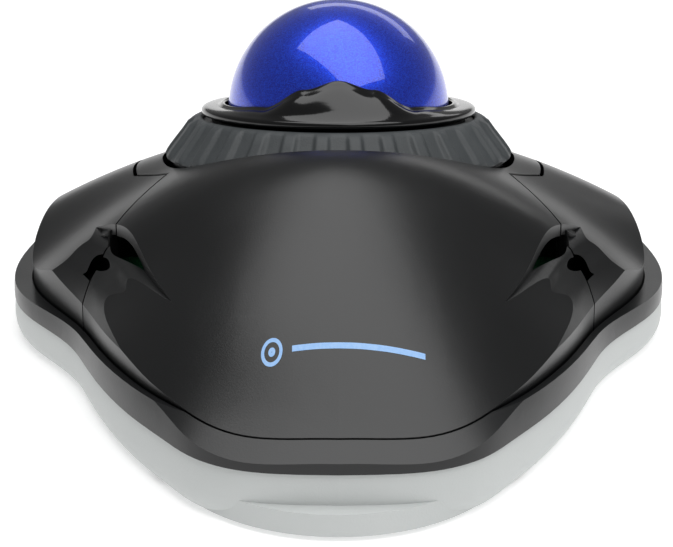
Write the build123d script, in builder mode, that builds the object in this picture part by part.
from build123d import *
import math
import os

os.makedirs("parts", exist_ok=True)

# A desk trackball with a scroll ring around the ball and two long buttons.
# The origin is at the bottom centre of the body, +Y points away from the palm.

# Driving dimensions, in millimetres and degrees
half_width = 58.7  # body centre line to the widest point of a shoulder
palm_reach = 92.1  # ball centre to the rear end of the chin
front_reach = 41.3  # ball centre to the front wall
ball_diameter = 40.0
mark_radius = 0.8  # shallow moulding marks at both ends of the rolling axis
mark_depth = 0.2
ball_height = 37.0  # ball centre above the desk
crest_height = 41.2  # highest point of the palm cover above the desk
ring_tilt = 13.0  # the ring leans this far forward

base_lift = 0.8  # the feet hold the underside of the base this far off the desk
floor_thickness = 2.5
wall = 2.4
side_parting = 7.0  # height of the joint between base and rim along the sides
rear_parting = 9.5  # the same joint at the rear
rim_widths = [(0, 4.0), (0.09, 4.0), (0.2, 2.2), (0.38, 1.7), (0.5, 3.2), (0.62, 3.6), (1, 3.6)]  # along the outline
rim_front = rim_widths[-1][1]
rim_gap = 0.3  # groove between the rim and what it frames
parting_gap = 0.1  # joint line between the base and the rim
cover_thickness = 2.2
button_thickness = 2.0
rim_rise_side = 3.2  # height of the rim above the parting
rim_rise_rear = 5.4
skirt_lift = 2.7  # lower edge of the skirts, above the parting
ledge_lift = 0.15  # underside of the inner ledge, above the parting
ledge_thickness = 1.4
boss_rise = 6.5
web_width = 4.0
web_reach = 7.0
ledge_width = 4.2

ring_top_radius = 25.7
ring_bottom_radius = 31.2
ring_top = -1.0  # along the ring axis, from the ball centre
ring_bottom = -8.2
rib_count = 30
rib_width = 1.25
rib_height = 0.6
grip_thickness = 1.3
well_radius = 32.0
collar_radius = 36.8
seam_gap = 0.2
button_gap = 0.65

bezel_radius = 24.8
bezel_lip = 1.5
bezel_bump = 7.4
ball_gap = 0.6  # between the ball and the bezel
cup_gap = 0.8  # between the ball and the cup
cup_wall = 1.6
journal_radius = 22.95
journal_clearance = 0.05
bearing_diameter = 3.0
bearing_slope = 50.0  # between a bearing and straight down, seen from the ball centre

board_thickness = 1.6
board_height = 5.5
button_travel = 0.8
trunnion_diameter = 3.0
trunnion_clearance = 0.05
switch_length = 12.8
switch_width = 5.8
switch_height = 6.5
plunger_stand = 0.8
plunger_travel = 0.75
screw_diameter = 2.6
screw_head_diameter = 5.0
cable_bore = 4.0

# Places worked out from the driving dimensions
ball_y = (palm_reach - front_reach) / 2
front_y = ball_y + front_reach
rear_y = ball_y - palm_reach
ball_radius = ball_diameter / 2
floor_top = base_lift + floor_thickness
board_top = board_height + board_thickness
tilt = math.radians(ring_tilt)
ball_centre = Vector(0, ball_y, ball_height)
ring_axis = Axis((0, ball_y, ball_height), (0, math.sin(tilt), math.cos(tilt)))
ring_plane = Plane(origin=ball_centre, x_dir=(1, 0, 0), z_dir=(0, math.sin(tilt), math.cos(tilt)))
ring_section = Plane(origin=ball_centre, x_dir=(1, 0, 0), z_dir=(0, -math.cos(tilt), math.sin(tilt)))
well_y = ball_y - 1.5  # the tilted well is centred a little behind the ball at skin level

# Half of the plan outline, from the rear to the front: shares of the half width
# and of the reach behind or ahead of the ball
outline_steps = 24
rear_shares = [(0, 0.962), (0.08, 0.961), (0.16, 0.957), (0.25, 0.946), (0.342, 0.923), (0.399, 0.889),
               (0.457, 0.841), (0.578, 0.724), (0.717, 0.532), (0.794, 0.41), (0.865, 0.341), (0.934, 0.277),
               (0.983, 0.207), (1, 0.14), (0.997, 0.07)]
front_shares = [(0.965, 0.05), (0.925, 0.26), (0.87, 0.45), (0.79, 0.62), (0.68, 0.77), (0.54, 0.875),
                (0.37, 0.945), (0.18, 0.985), (0, 1)]
outline_corners = [(x * half_width, ball_y - y * palm_reach) for x, y in rear_shares]
outline_corners += [(x * half_width, ball_y + y * front_reach) for x, y in front_shares]
guide = Edge.make_spline([Vector(x, y) for x, y in outline_corners])

# The outer skin is a hump with a parabola for each cross-section: share of the reach
# (behind the ball negative), height on the centre line as a share of the crest, and curvature
skin_reach = 1.12 * half_width
skin_stations = [(-1.09, 0.06, 0.006), (-1.0, 0.22, 0.006), (-0.92, 0.33, 0.006), (-0.84, 0.462, 0.0089),
                 (-0.76, 0.595, 0.011), (-0.63, 0.767, 0.0116), (-0.48, 0.93, 0.012), (-0.37, 1.0, 0.0102),
                 (-0.185, 0.94, 0.0084), (0, 0.825, 0.0056), (0.48, 0.643, 0.0055), (0.8, 0.51, 0.0055),
                 (1.0, 0.4, 0.0055), (1.25, 0.24, 0.0055)]
side_levels = [(5, 0), (8, 0), (10, 0.15), (12, 0.5), (14, 1.1), (16, 2.0), (18, 3.1), (20, 4.6), (22, 7), (24, 11)]
base_levels = [(base_lift, 0.9), (base_lift + 1.4, 0.2), (base_lift + 4, 0), (rear_parting + 3, 0)]


def station_y(share):
    return ball_y + share * (front_reach if share > 0 else palm_reach)


# Width of the rim at a share of the half outline's length, blended between the stated widths
def rim_at(share):
    for (start, first), (end, last) in zip(rim_widths, rim_widths[1:]):
        if share <= end:
            blend = (1 - math.cos(math.pi * (share - start) / (end - start))) / 2
            return first + (last - first) * blend


# The right-hand half of the plan outline at a height, moved in by an inset, and by the rim as well if asked
def outline_face(inset, height, inside_rim=False):
    def moved_in(share):
        return inset + (rim_at(share) if inside_rim else 0)

    points = [(0, ball_y - rear_shares[0][1] * palm_reach + moved_in(0))]
    for step in range(1, outline_steps):
        share = step / outline_steps
        place = guide.position_at(share)
        along = guide.tangent_at(share)
        points.append((place.X - along.Y * moved_in(share), place.Y + along.X * moved_in(share)))
    points.append((0, front_y - moved_in(1)))
    with BuildSketch(Plane.XY.offset(height)) as plan:
        with BuildLine():
            Spline(*points)
            Line(points[-1], points[0])
        make_face()
    return plan.sketch


# The right-hand half of everything inside the plan outline moved in by an inset
def prism(inset, low, high, inside_rim=False):
    with BuildPart() as block:
        extrude(outline_face(inset, low, inside_rim), amount=high - low)
    return block.part


# Everything under the outer skin lowered by a drop
def under_skin(drop):
    with BuildPart() as hump:
        for share, height, curve in skin_stations:
            with BuildSketch(Plane(origin=(0, station_y(share), 0), x_dir=(1, 0, 0), z_dir=(0, -1, 0))):
                top = height * crest_height - drop
                fall = curve * skin_reach ** 2
                with BuildLine():
                    Bezier((-skin_reach, top - fall), (0, top + fall), (skin_reach, top - fall))
                    Polyline((skin_reach, top - fall), (skin_reach, -80), (-skin_reach, -80),
                             (-skin_reach, top - fall))
                make_face()
        loft()
    return hump.part


# The right-hand half of the rounded body through a list of heights and insets
def sides(levels):
    with BuildPart() as body:
        loft([outline_face(inset, height) for height, inset in levels])
    return body.part


# Everything below the joint between the base and the rim, raised by one lift at the sides and one at the rear
def below_parting(side_lift=0, rear_lift=0):
    at_side = side_parting + side_lift
    at_rear = rear_parting + rear_lift
    bend_start = ball_y - 15
    bend_end = ball_y - rear_shares[0][1] * palm_reach
    with BuildPart() as block:
        with BuildSketch(Plane.YZ):
            with BuildLine():
                Bezier((bend_start, at_side), (bend_start - 20, at_side), (bend_end + 15, at_rear), (bend_end, at_rear))
                Polyline((bend_end, at_rear), (rear_y - 20, at_rear), (rear_y - 20, -10),
                         (front_y + 20, -10), (front_y + 20, at_side), (bend_start, at_side))
            make_face()
        extrude(amount=half_width + 20, both=True)
    return block.part


skin = under_skin(0)
lower_half = below_parting()
inner_prism = prism(0, -5, 80, inside_rim=True)
rounded_body = sides(side_levels) + prism(side_levels[-1][1], side_levels[-1][0] - 2, 80)


# The right-hand half of a shell under the skin with a skirt down its side, inside the rim
def framed_shell(thickness):
    with BuildPart() as shell:
        add(prism(rim_gap, -5, 80, inside_rim=True))
        add(skin, mode=Mode.INTERSECT)
        add(rounded_body, mode=Mode.INTERSECT)
        add(under_skin(thickness) & prism(rim_gap + thickness, -5, 80, inside_rim=True), mode=Mode.SUBTRACT)
        add(below_parting(skirt_lift, skirt_lift), mode=Mode.SUBTRACT)
    return shell.part


# Plan places of the buttons' seams, on the right-hand side
seam_front = Vector(0.52 * half_width, ball_y - 17)
seam_rear = Vector(0.775 * half_width, ball_y - 0.455 * palm_reach)
gap_end = Vector(collar_radius * math.cos(math.radians(10)), well_y - collar_radius * math.sin(math.radians(10)))
tongue_half = 9.0


# Everything in the plan of the right-hand button: grown towards the cover by the two gaps
def button_block(seam, gap):
    along_seam = (seam_rear - seam_front).normalized()
    across_seam = Vector(along_seam.Y, -along_seam.X)
    along_gap = (gap_end - seam_front).normalized()
    across_gap = Vector(-along_gap.Y, along_gap.X)
    corner = seam_front + across_seam * seam + across_gap * gap
    rear = seam_rear + across_seam * seam + along_seam * 14
    radius = collar_radius + button_gap - gap
    side_angle = math.radians(-10)
    tongue = tongue_half + button_gap - gap
    tongue_angle = math.acos(tongue / radius)
    middle_angle = (side_angle + tongue_angle) / 2
    arc = [(radius * math.cos(a), well_y + radius * math.sin(a)) for a in (side_angle, middle_angle, tongue_angle)]
    with BuildPart() as block:
        with BuildSketch(Plane.XY.offset(-5)):
            with BuildLine():
                Polyline(arc[0], corner, rear, (half_width + 9, rear.Y), (half_width + 9, front_y + 9),
                         (tongue, front_y + 9), arc[2])
                ThreePointArc(*arc)
            make_face()
        extrude(amount=90)
    return block.part


button_core = button_block(0, 0)
button_opening = button_block(seam_gap, button_gap)


# A solid of revolution about the ring axis from a closed outline of radius and height
def ring_solid(outline):
    with BuildPart() as solid:
        with BuildSketch(ring_section):
            with BuildLine():
                Polyline(*outline, close=True)
            make_face()
        revolve(axis=ring_axis)
    return solid.part


def ring_bar(radius, low, high):
    return ring_solid([(0, low), (radius, low), (radius, high), (0, high)])


# Round pillars at places, from a height up to a cap
def pillars(places, radius, low, cap):
    with BuildPart() as group:
        with BuildSketch(Plane.XY.offset(low)):
            with Locations(*places):
                Circle(radius)
        extrude(amount=60)
        add(cap, mode=Mode.INTERSECT)
    return group.part


# Places of what is fastened
case_places_rear = [(side * 0.38 * half_width, ball_y - 60) for side in (-1, 1)]
case_places_front = [(side * 0.39 * half_width, front_y - 13.5) for side in (-1, 1)]
case_places = case_places_rear + case_places_front
leg_places = [(side * 17.0, ball_y + y) for side in (-1, 1) for y in (-17.5, 12.5)]
board_places = [(side * (half_width - 20), ball_y + y) for side in (-1, 1) for y in (-11, 18)]
switch_x = half_width - 19.2
switch_y = ball_y + 8
foot_places = {"rear_left": (-22, rear_y + 22), "rear_right": (22, rear_y + 22),
               "front_left": (-(half_width - 17), ball_y + 14), "front_right": (half_width - 17, ball_y + 14)}
eject_y = ball_y - 7.5
eject_diameter = 10.0
sensor_y = ball_y + 8
boss_top = 7.1
screw_bite = 5.6
boss_radius = 3.8
screw_seat = 5.0
cable_height = 8.5
gland_diameter = 6.0
foot_recess = 0.6
foot_size = (14.6, 6.0)
foot_clearance = 0.2
plate_depth = 0.3
plate_size = (40, 20)
plate_y = rear_y + 45
leg_radius = 2.5
cup_screw_radius = 1.1
cup_head_radius = 2.1
cup_head_recess = 1.4
board_screw_radius = 0.9
hinge_y = ball_y - 27
hinge_x = half_width - 19
hinge_z = 13.0

# Base shell: pale lower tray with the chin at the rear
chin_half = 0.36 * half_width
chin_height = 3.6
with BuildPart() as base_shell:
    add(sides(base_levels))
    add(lower_half, mode=Mode.INTERSECT)
    add(prism(wall, floor_top, 40), mode=Mode.SUBTRACT)
    mirror(about=Plane.YZ)
    with BuildSketch(Plane.XY.offset(base_lift)) as chin:
        with BuildLine():
            chin_edge = ball_y - 0.9 * palm_reach
            ThreePointArc((-chin_half, chin_edge), (0, rear_y), (chin_half, chin_edge))
            Line((chin_half, chin_edge), (-chin_half, chin_edge))
        make_face()
    extrude(amount=chin_height, taper=8)
    with BuildSketch(Plane.XY.offset(floor_top)):
        with Locations((0, chin_edge + wall + 10)):
            Rectangle(2 * chin_half - 4, 20)
    extrude(amount=chin_height, mode=Mode.SUBTRACT)
    with BuildSketch(Plane.XY.offset(floor_top)):
        with Locations(*case_places):
            Circle(boss_radius)
    extrude(amount=boss_top - floor_top)
    with BuildSketch(Plane.XY.offset(floor_top)):
        with Locations(*board_places):
            Circle(leg_radius)
    extrude(amount=board_height - floor_top)
    with BuildSketch(Plane.XY.offset(base_lift)):
        with Locations(*case_places):
            Circle(screw_head_diameter / 2 + 0.3)
    extrude(amount=screw_seat - base_lift, mode=Mode.SUBTRACT)
    with BuildSketch(Plane.XY.offset(base_lift)):
        with Locations(*case_places):
            Circle(screw_diameter / 2 + 0.2)
    extrude(amount=boss_top, mode=Mode.SUBTRACT)
    with BuildSketch(Plane.XY.offset(floor_top)):
        with Locations(*board_places):
            Circle(board_screw_radius)
    extrude(amount=board_height - floor_top, mode=Mode.SUBTRACT)
    with BuildSketch(Plane.XY.offset(base_lift)):
        with Locations(*leg_places):
            Circle(cup_head_radius + 0.2)
    extrude(amount=cup_head_recess, mode=Mode.SUBTRACT)
    with BuildSketch(Plane.XY.offset(base_lift)):
        with Locations(*leg_places):
            Circle(cup_screw_radius)
    extrude(amount=floor_thickness, mode=Mode.SUBTRACT)
    with BuildSketch(Plane.XY.offset(base_lift)):
        with Locations((0, eject_y)):
            Circle(eject_diameter / 2)
    extrude(amount=floor_thickness, mode=Mode.SUBTRACT)
    with BuildSketch(Plane.XY.offset(base_lift)):
        with Locations(*foot_places.values()):
            SlotOverall(foot_size[0] + 2 * foot_clearance, foot_size[1] + 2 * foot_clearance)
    extrude(amount=foot_recess, mode=Mode.SUBTRACT)
    with BuildSketch(Plane.XY.offset(base_lift)):
        with Locations((0, plate_y)):
            RectangleRounded(*plate_size, 2)
    extrude(amount=plate_depth, mode=Mode.SUBTRACT)
    with BuildSketch(Plane.XZ.offset(-front_y - 1)):
        with Locations((0, cable_height)):
            Circle(gland_diameter / 2)
    extrude(amount=12, mode=Mode.SUBTRACT)
base_shell.part.label = "base_shell"
export_step(base_shell.part, "parts/base_shell.step")


# Top frame: the black rim that closes on the base
with BuildPart() as top_frame:
    add(rounded_body)
    add(below_parting(rim_rise_side, rim_rise_rear), mode=Mode.INTERSECT)
    add(lower_half.moved(Location((0, 0, parting_gap))), mode=Mode.SUBTRACT)
    add(skin, mode=Mode.INTERSECT)
    add(inner_prism, mode=Mode.SUBTRACT)
    with BuildSketch(Plane.XZ.offset(-front_y - 1)):
        with Locations((0, cable_height)):
            Circle(gland_diameter / 2)
    extrude(amount=12, mode=Mode.SUBTRACT)
    mirror(about=Plane.YZ)
top_frame.part.label = "top_frame"
export_step(top_frame.part, "parts/top_frame.step")


# Clearance for the cable gland through what stands behind the front rim
with BuildPart() as gland_clearance:
    with BuildSketch(Plane.XZ.offset(-front_y - 1)):
        with Locations((0, cable_height)):
            Circle(gland_diameter / 2 + 1 + rim_gap)
    extrude(amount=14)
gland_hole = gland_clearance.part

# Mid frame: the ledge inside the rim that the cover rests on, with the front screw bosses
ledge_rear = ball_y - 0.74 * palm_reach
with BuildPart() as mid_frame:
    add(prism(0.05, -5, 80, inside_rim=True))
    add(below_parting(ledge_lift + ledge_thickness, ledge_lift + ledge_thickness), mode=Mode.INTERSECT)
    add(below_parting(ledge_lift, ledge_lift), mode=Mode.SUBTRACT)
    add(prism(ledge_width, -5, 80, inside_rim=True), mode=Mode.SUBTRACT)
    with BuildSketch(Plane.XY.offset(-5)):
        with Locations((0, (ledge_rear + rear_y - 20) / 2)):
            Rectangle(3 * half_width, ledge_rear - rear_y + 20)
    extrude(amount=90, mode=Mode.SUBTRACT)
    mirror(about=Plane.YZ)
    with BuildSketch(Plane.XY.offset(side_parting + ledge_lift)):
        with Locations(*[(x, y + web_reach / 2) for x, y in case_places_front]):
            Rectangle(web_width, web_reach)
    extrude(amount=ledge_thickness)
    add(pillars(case_places_front, boss_radius, boss_top, below_parting(boss_rise)))
    add(gland_hole, mode=Mode.SUBTRACT)
    with BuildSketch(Plane.XY.offset(boss_top)):
        with Locations(*case_places_front):
            Circle(screw_diameter / 2)
    extrude(amount=screw_bite, mode=Mode.SUBTRACT)
mid_frame.part.label = "mid_frame"
export_step(mid_frame.part, "parts/mid_frame.step")

# Palm cover: the satin black skin with the collar around the scroll ring and two screw posts
with BuildPart() as palm_cover:
    add(framed_shell(cover_thickness))
    add(button_opening, mode=Mode.SUBTRACT)
    add(ring_bar(well_radius, -40, 40), mode=Mode.SUBTRACT)
    add(gland_hole, mode=Mode.SUBTRACT)
    mirror(about=Plane.YZ)
    add(pillars(case_places_rear, boss_radius, boss_top, under_skin(cover_thickness / 2)))
    with BuildSketch(Plane.XY.offset(boss_top)):
        with Locations(*case_places_rear):
            Circle(screw_diameter / 2)
    extrude(amount=8, mode=Mode.SUBTRACT)
palm_cover.part.label = "palm_cover"
export_step(palm_cover.part, "parts/palm_cover.step")

# Buttons: the skin at each side, with a post that reaches down to its switch and a hinge
# arm with a moulded trunnion near the rear
plunger_top = board_top + switch_height + plunger_stand
post_gap = 0.05
arm_width = 4.0
arm_radius = 2.6
button_cap = under_skin(button_thickness / 2)
button_skin = (framed_shell(button_thickness) & button_core).solids().sort_by(SortBy.VOLUME)[-1]
for name, side in (("left", -1), ("right", 1)):
    with BuildPart() as button:
        add(button_skin)
        add(pillars([(switch_x, switch_y)], 2.4, plunger_top + post_gap, button_cap))
        add(pillars([(hinge_x, hinge_y)], 1.8, hinge_z, button_cap))
        with BuildSketch(Plane.YZ.offset(hinge_x - arm_width / 2)):
            with Locations((hinge_y, hinge_z)):
                Circle(arm_radius)
        extrude(amount=arm_width)
        with BuildSketch(Plane.YZ.offset(hinge_x - arm_width)):
            with Locations((hinge_y, hinge_z)):
                Circle(trunnion_diameter / 2)
        extrude(amount=2 * arm_width)
        if side < 0:
            mirror(about=Plane.YZ, mode=Mode.REPLACE)
    button.part.label = name + "_button"
    export_step(button.part, "parts/" + name + "_button.step")

# Hinge brackets: two cheeks on a foot that stands on the base floor, one cheek each side of the arm
cheek_thickness = 1.6
cheek_gap = 0.4
bracket_foot = 1.6
for name, side in (("left", -1), ("right", 1)):
    with BuildPart() as bracket:
        with BuildSketch(Plane.XY.offset(floor_top)):
            with Locations((hinge_x, hinge_y)):
                Rectangle(arm_width + 2 * (cheek_gap + cheek_thickness), 8)
        extrude(amount=bracket_foot)
        for place in (-1, 1):
            middle = hinge_x + place * (arm_width / 2 + cheek_gap + cheek_thickness / 2)
            with BuildSketch(Plane.YZ.offset(middle)):
                with Locations((hinge_y, (floor_top + hinge_z) / 2)):
                    Rectangle(6, hinge_z - floor_top)
                with Locations((hinge_y, hinge_z)):
                    Circle(3)
                with Locations((hinge_y, hinge_z)):
                    Circle(trunnion_diameter / 2 + trunnion_clearance, mode=Mode.SUBTRACT)
            extrude(amount=cheek_thickness / 2, both=True)
        if side < 0:
            mirror(about=Plane.YZ, mode=Mode.REPLACE)
    bracket.part.label = name + "_hinge_bracket"
    export_step(bracket.part, "parts/" + name + "_hinge_bracket.step")

# Ball and its cup. The cup stands on four legs and carries the journal of the scroll ring.
with BuildPart() as ball:
    with Locations(ball_centre):
        Sphere(ball_radius)
        with Locations((ball_radius, 0, 0), (-ball_radius, 0, 0)):
            Cylinder(mark_radius, 2 * mark_depth, rotation=(0, 90, 0), mode=Mode.SUBTRACT)
ball.part.label = "ball"
export_step(ball.part, "parts/ball.step")

bearing_reach = ball_radius + bearing_diameter / 2 + 0.02
slope = math.radians(bearing_slope)
bearing_turns = {"rear": -90, "left": 150, "right": 30}
bearing_places = {}
for name, turn in bearing_turns.items():
    heading = math.radians(turn)
    bearing_places[name] = ball_centre + Vector(math.sin(slope) * math.cos(heading),
                                                math.sin(slope) * math.sin(heading),
                                                -math.cos(slope)) * bearing_reach
for name, place in bearing_places.items():
    with BuildPart() as bearing:
        with Locations(place):
            Sphere(bearing_diameter / 2)
    bearing.part.label = name + "_bearing"
    export_step(bearing.part, "parts/" + name + "_bearing.step")

cup_inner = ball_radius + cup_gap
cup_outer = cup_inner + cup_wall
cup_top = -0.9
flange_top = -9.8
flange_thickness = 1.6
flange_radius = 25.0
with BuildPart() as ball_cup:
    with Locations(ball_centre):
        Sphere(cup_outer)
    add(ring_solid([(0, flange_top), (journal_radius, flange_top), (journal_radius, cup_top), (0, cup_top)]))
    add(ring_solid([(0, flange_top - flange_thickness), (flange_radius, flange_top - flange_thickness),
                    (flange_radius, flange_top), (0, flange_top)]))
    add(ring_bar(60, cup_top, 60), mode=Mode.SUBTRACT)
    add(pillars(leg_places, leg_radius, floor_top, ring_bar(60, -60, flange_top - flange_thickness / 2)))
    for place in bearing_places.values():
        with Locations(place):
            Sphere(bearing_diameter / 2 + 1.2)
    with Locations(ball_centre):
        Sphere(cup_inner, mode=Mode.SUBTRACT)
    for place in bearing_places.values():
        with Locations(place):
            Sphere(bearing_diameter / 2, mode=Mode.SUBTRACT)
    with BuildSketch(Plane.XY.offset(floor_top)):
        with Locations(*leg_places):
            Circle(cup_screw_radius)
    extrude(amount=7, mode=Mode.SUBTRACT)
    with BuildSketch(Plane.XY.offset(floor_top)):
        with Locations((0, eject_y)):
            Circle(eject_diameter / 2)
        with Locations((0, sensor_y)):
            Circle(4.5)
    extrude(amount=ball_height - floor_top - 10, mode=Mode.SUBTRACT)
ball_cup.part.label = "ball_cup"
export_step(ball_cup.part, "parts/ball_cup.step")

# Bezel: gloss black lip around the ball that rises in one wave on the palm side
wave_rear = [(-1, bezel_lip), (-0.62, bezel_lip + 0.9), (-0.3, 0.78 * bezel_bump), (0, bezel_bump),
             (0.3, 0.78 * bezel_bump), (0.62, bezel_lip + 0.9), (1, bezel_lip)]
wave_front = [(-1, bezel_lip), (0, bezel_lip + 0.9), (1, bezel_lip)]
with BuildPart() as bezel_ring:
    add(ring_solid([(0, cup_top), (23.2, cup_top), (23.2, -0.4), (bezel_radius, -0.4),
                    (bezel_radius, 0.8), (bezel_radius - 0.4, bezel_lip), (21.2, bezel_bump + 0.4),
                    (0, bezel_bump + 0.4)]))
    for points, depth in ((wave_rear, 40), (wave_front, -40)):
        with BuildSketch(ring_section):
            with BuildLine():
                Spline(*[(x * bezel_radius, s) for x, s in points])
                Polyline((bezel_radius, points[-1][1]), (bezel_radius + 5, points[-1][1]),
                         (bezel_radius + 5, 20), (-bezel_radius - 5, 20), (-bezel_radius - 5, points[0][1]),
                         (-bezel_radius, points[0][1]))
            make_face()
        extrude(amount=depth, mode=Mode.SUBTRACT)
    with Locations(ball_centre):
        Sphere(ball_radius + ball_gap, mode=Mode.SUBTRACT)
bezel_ring.part.label = "bezel_ring"
export_step(bezel_ring.part, "parts/bezel_ring.step")

# Scroll ring: carrier on the journal, rubber grip with raised ribs, and slotted encoder ring
grip_run = math.hypot(ring_bottom_radius - ring_top_radius, ring_top - ring_bottom)
grip_out = Vector(ring_top - ring_bottom, ring_bottom_radius - ring_top_radius) / grip_run
inner_top = Vector(ring_top_radius, ring_top) - grip_out * grip_thickness
inner_bottom = Vector(ring_bottom_radius, ring_bottom) - grip_out * grip_thickness
carrier_bore = journal_radius + journal_clearance
carrier_bottom = flange_top + 0.4
ring_hub = 23.9
with BuildPart() as ring_carrier:
    add(ring_solid([(carrier_bore, carrier_bottom), (inner_bottom.X, carrier_bottom),
                    (inner_bottom.X, inner_bottom.Y), (inner_top.X, inner_top.Y),
                    (carrier_bore, inner_top.Y)]))
ring_carrier.part.label = "ring_carrier"
export_step(ring_carrier.part, "parts/ring_carrier.step")

grip_mid = Vector((ring_top_radius + ring_bottom_radius) / 2, (ring_top + ring_bottom) / 2)
with BuildPart() as ring_grip:
    add(ring_solid([(ring_hub, ring_top), (ring_top_radius, ring_top), (ring_bottom_radius, ring_bottom),
                    (inner_bottom.X, inner_bottom.Y), (inner_top.X, inner_top.Y), (ring_hub, inner_top.Y)]))
    for rib in range(rib_count):
        turn = 2 * math.pi * rib / rib_count
        radial = ring_plane.x_dir * math.cos(turn) + ring_plane.y_dir * math.sin(turn)
        face = Plane(origin=ball_centre + radial * grip_mid.X + ring_plane.z_dir * grip_mid.Y,
                     x_dir=radial * grip_out.Y - ring_plane.z_dir * grip_out.X,
                     z_dir=radial * grip_out.X + ring_plane.z_dir * grip_out.Y)
        with BuildSketch(face.offset(-rib_height)):
            with Locations((0.5, 0)):
                SlotOverall(grip_run - 1.6, rib_width)
        extrude(amount=2 * rib_height)
ring_grip.part.label = "ring_grip"
export_step(ring_grip.part, "parts/ring_grip.step")

encoder_radii = (26.6, 27.8)
encoder_depth = 2.6
with BuildPart() as encoder_ring:
    add(ring_solid([(encoder_radii[0], carrier_bottom - encoder_depth), (encoder_radii[1], carrier_bottom - encoder_depth),
                    (encoder_radii[1], carrier_bottom), (encoder_radii[0], carrier_bottom)]))
    with BuildSketch(ring_plane.offset(carrier_bottom - encoder_depth)):
        with PolarLocations((encoder_radii[0] + encoder_radii[1]) / 2, rib_count):
            Rectangle(3, 1.6)
    extrude(amount=encoder_depth - 0.8, mode=Mode.SUBTRACT)
encoder_ring.part.label = "encoder_ring"
export_step(encoder_ring.part, "parts/encoder_ring.step")

with BuildPart() as ring_washer:
    add(ring_solid([(carrier_bore, flange_top), (flange_radius - 0.2, flange_top),
                    (flange_radius - 0.2, flange_top + 0.3), (carrier_bore, flange_top + 0.3)]))
ring_washer.part.label = "ring_washer"
export_step(ring_washer.part, "parts/ring_washer.step")

# Optical fork that reads the encoder ring, on a riser board at the front
fork_gap = 0.3
with BuildPart() as ring_sensor:
    with BuildSketch(ring_plane.offset(carrier_bottom - encoder_depth - 4)):
        with Locations((0, 27.7)):
            Rectangle(6, 5)
    extrude(amount=encoder_depth + 3.4)
    with BuildSketch(ring_plane.offset(carrier_bottom - encoder_depth - 0.5)):
        with Locations((0, (encoder_radii[0] + encoder_radii[1]) / 2)):
            Rectangle(8, encoder_radii[1] - encoder_radii[0] + 2 * fork_gap + 0.4)
    extrude(amount=10, mode=Mode.SUBTRACT)
ring_sensor.part.label = "ring_sensor"
export_step(ring_sensor.part, "parts/ring_sensor.step")

with BuildPart() as riser_board:
    with BuildSketch(Plane.XY.offset(board_top)):
        with Locations((0, ball_y + 23.4)):
            Rectangle(9, 1.2)
    extrude(amount=10)
    add(ring_bar(60, carrier_bottom - encoder_depth - 4, 60), mode=Mode.SUBTRACT)
riser_board.part.label = "riser_board"
export_step(riser_board.part, "parts/riser_board.step")

# Main board with its components
board_margin = 0.8
with BuildPart() as main_board:
    add(prism(wall + board_margin, board_height, board_top))
    mirror(about=Plane.YZ)
    with BuildSketch(Plane.XY.offset(board_height)):
        with Locations((0, ball_y + 6.5)):
            RectangleRounded(2 * (half_width - 8), 41, 3)
    extrude(amount=board_thickness, mode=Mode.INTERSECT)
    with BuildSketch(Plane.XY.offset(board_height)):
        with Locations((0, eject_y)):
            Circle(eject_diameter / 2 + 1)
        with Locations(*leg_places):
            Circle(leg_radius + 0.5)
        with Locations(*board_places):
            Circle(board_screw_radius + 0.2)
        with Locations(*case_places_front):
            Circle(boss_radius + board_margin)
    extrude(amount=board_thickness, mode=Mode.SUBTRACT)
main_board.part.label = "main_board"
export_step(main_board.part, "parts/main_board.step")

blocks = {"sensor_chip": ((0, sensor_y), (8, 8), board_top, 2.6),
          "controller_chip": ((-30, ball_y + 2), (9, 9), board_top, 1.4),
          "crystal": ((29, ball_y + 14), (10.5, 4.5), board_top, 3.4),
          "cable_connector": ((20, ball_y + 21.5), (11, 5), board_top, 5.0)}
for name, (place, size, low, height) in blocks.items():
    with BuildPart() as block:
        with BuildSketch(Plane.XY.offset(low)):
            with Locations(place):
                RectangleRounded(*size, 0.4)
        extrude(amount=height)
    block.part.label = name
    export_step(block.part, "parts/" + name + ".step")

rounds = {"sensor_lens": ((0, sensor_y), 3.2, board_top + 2.6, 2.8),
          "sensor_led": ((0, sensor_y + 7.5), 1.5, board_top, 5.0),
          "capacitor": ((30, ball_y - 4), 2.5, board_top, 7.0)}
for name, (place, radius, low, height) in rounds.items():
    with BuildPart() as can:
        with BuildSketch(Plane.XY.offset(low)):
            with Locations(place):
                Circle(radius)
        extrude(amount=height)
        fillet(can.edges().group_by(Axis.Z)[-1], 0.3 * radius)
    can.part.label = name
    export_step(can.part, "parts/" + name + ".step")

# Switches: a body with a pocket, and a plunger that slides in it
plunger_size = (1.5, 2.8)
plunger_clearance = 0.1
pocket_depth = 3.2
for name, side in (("left", -1), ("right", 1)):
    with BuildPart() as switch_body:
        with BuildSketch(Plane.XY.offset(board_top)):
            with Locations((side * switch_x, switch_y)):
                Rectangle(switch_width, switch_length)
        extrude(amount=switch_height)
        with BuildSketch(Plane.XY.offset(board_top + switch_height)):
            with Locations((side * switch_x, switch_y)):
                Rectangle(plunger_size[0] + 2 * plunger_clearance, plunger_size[1] + 2 * plunger_clearance)
        extrude(amount=-pocket_depth, mode=Mode.SUBTRACT)
    switch_body.part.label = name + "_switch_body"
    export_step(switch_body.part, "parts/" + name + "_switch_body.step")
    with BuildPart() as plunger:
        with BuildSketch(Plane.XY.offset(plunger_top)):
            with Locations((side * switch_x, switch_y)):
                Rectangle(*plunger_size)
        extrude(amount=-(pocket_depth + plunger_stand - plunger_travel - 0.2))
    plunger.part.label = name + "_plunger"
    export_step(plunger.part, "parts/" + name + "_plunger.step")

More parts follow.
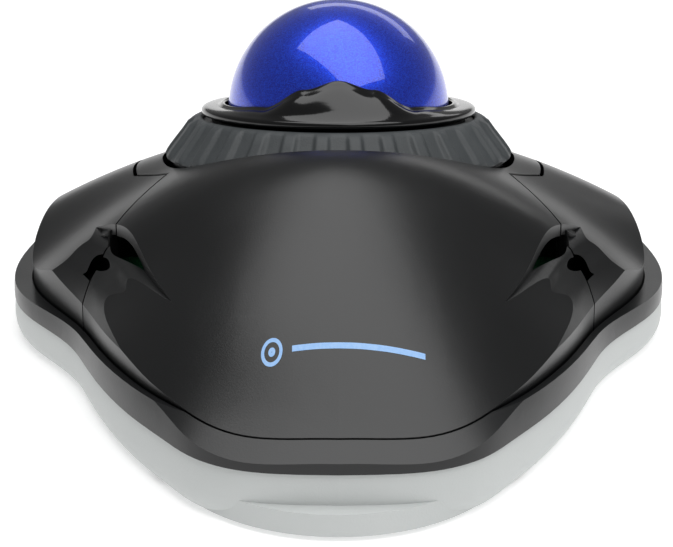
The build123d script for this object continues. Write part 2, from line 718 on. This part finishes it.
# Cable gland in the front wall
gland_gap = 0.3
with BuildPart() as cable_gland:
    with BuildSketch(Plane.XZ.offset(-front_y + 0.4)):
        with Locations((0, cable_height)):
            Circle(gland_diameter / 2)
    extrude(amount=rim_front + gland_gap - 0.4)
    with BuildSketch(Plane.XZ.offset(-front_y + rim_front + gland_gap)):
        with Locations((0, cable_height)):
            Circle(gland_diameter / 2 + 1)
    extrude(amount=1.4)
    with BuildSketch(Plane.XZ.offset(-front_y)):
        with Locations((0, cable_height)):
            Circle(cable_bore / 2)
    extrude(amount=10, mode=Mode.SUBTRACT)
cable_gland.part.label = "cable_gland"
export_step(cable_gland.part, "parts/cable_gland.step")


# Screws at places, pointing up or down from the seat of their heads
def screw_group(places, seat, head_radius, head_height, shank_radius, length, up):
    turn = 1 if up else -1
    with BuildPart() as group:
        with BuildSketch(Plane.XY.offset(seat)):
            with Locations(*places):
                Circle(shank_radius)
        extrude(amount=turn * length)
        with BuildSketch(Plane.XY.offset(seat)):
            with Locations(*places):
                Circle(head_radius)
        extrude(amount=-turn * head_height)
        with BuildSketch(Plane.XY.offset(seat - turn * head_height)):
            with Locations(*places):
                Rectangle(0.45 * head_radius, 1.3 * head_radius)
                Rectangle(1.3 * head_radius, 0.45 * head_radius)
        extrude(amount=turn * 0.5 * head_height, mode=Mode.SUBTRACT)
    return group.part


screws = {"case_screws": screw_group(case_places, screw_seat, screw_head_diameter / 2, 1.8,
                                     screw_diameter / 2, 7, True),
          "cup_screws": screw_group(leg_places, base_lift + cup_head_recess, cup_head_radius, 1.2,
                                    cup_screw_radius, 7, True),
          "board_screws": screw_group(board_places, board_top, 1.9, 1.2,
                                      board_screw_radius, 3.6, False)}
for name, group in screws.items():
    group.label = name
    export_step(group, "parts/" + name + ".step")

# Feet and the blank rating plate on the underside
for name, place in foot_places.items():
    with BuildPart() as foot:
        with BuildSketch():
            with Locations(place):
                SlotOverall(*foot_size)
        extrude(amount=base_lift + foot_recess)
        fillet(foot.edges().group_by(Axis.Z)[0], 0.4)
    foot.part.label = name + "_foot"
    export_step(foot.part, "parts/" + name + "_foot.step")

with BuildPart() as rating_plate:
    with BuildSketch(Plane.XY.offset(base_lift)):
        with Locations((0, plate_y)):
            RectangleRounded(plate_size[0] - 0.4, plate_size[1] - 0.4, 1.8)
    extrude(amount=plate_depth)
rating_plate.part.label = "rating_plate"
export_step(rating_plate.part, "parts/rating_plate.step")
